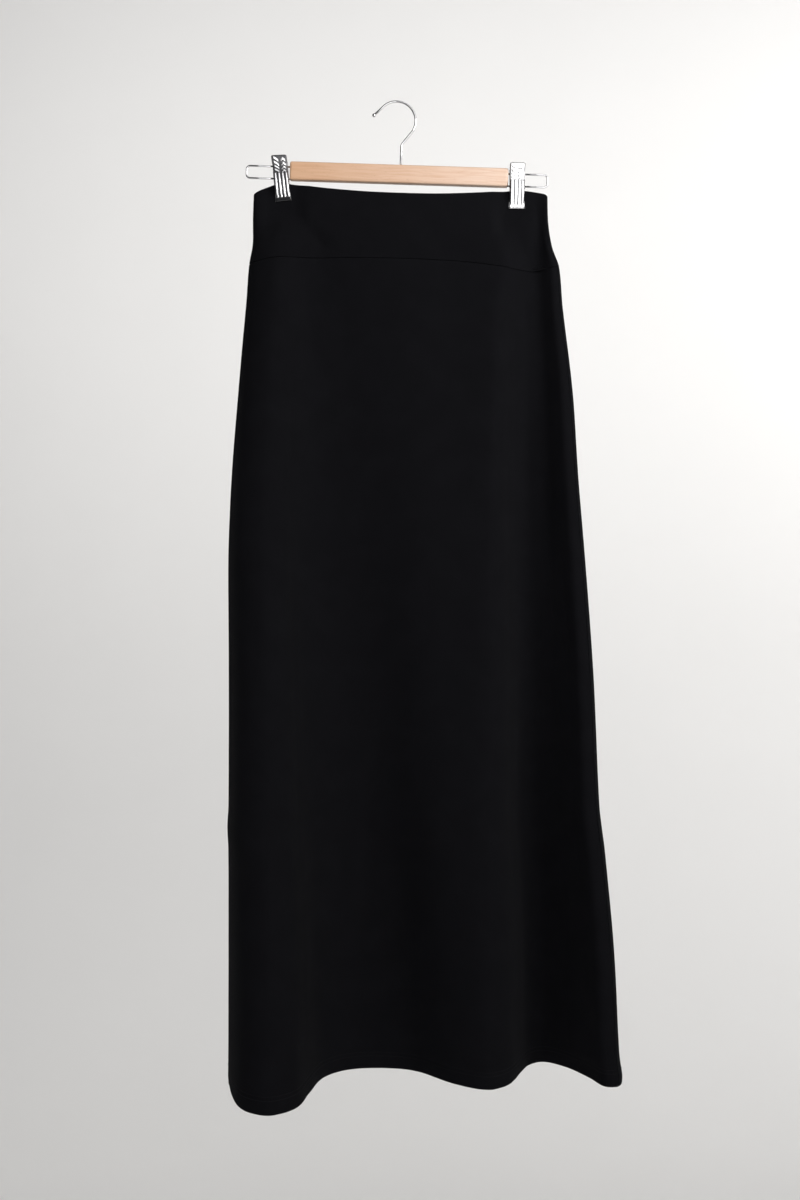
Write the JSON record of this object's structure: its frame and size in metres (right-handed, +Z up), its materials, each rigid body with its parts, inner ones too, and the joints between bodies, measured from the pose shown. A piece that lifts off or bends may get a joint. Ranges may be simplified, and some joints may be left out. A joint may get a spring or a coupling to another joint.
{
  "type": "maxi skirt on clip hanger",
  "caption": "Long plain A-line skirt with a wide shaped waistband, hanging in soft folds from a wooden hanger with sprung metal clips and a wire hook.",
  "frame": {"origin": "inside top of the hook's wire, where a rail or peg carries it", "axes": "+X to the right of someone facing the front of the skirt, +Y away from them, +Z up"},
  "size_m": [0.4402, 0.1857, 1.105],
  "materials": {
    "black_knit": "matt, fine smooth knit with a faint sheen",
    "beech": "clear satin varnish",
    "chrome": "bright plate",
    "spring_steel": "dull grey wire"
  },
  "bodies": {
    "root": {"waistband_front": "black_knit", "waistband_back": "black_knit", "skirt_front": "black_knit", "skirt_back": "black_knit", "hanger_bar": "beech", "hanger_hook": "chrome", "wire_loop_left": "chrome", "wire_loop_right": "chrome", "clip_left_front": "chrome", "clip_left_back": "chrome", "clip_left_spring": "spring_steel", "clip_right_front": "chrome", "clip_right_back": "chrome", "clip_right_spring": "spring_steel"}
  },
  "joints": []
}
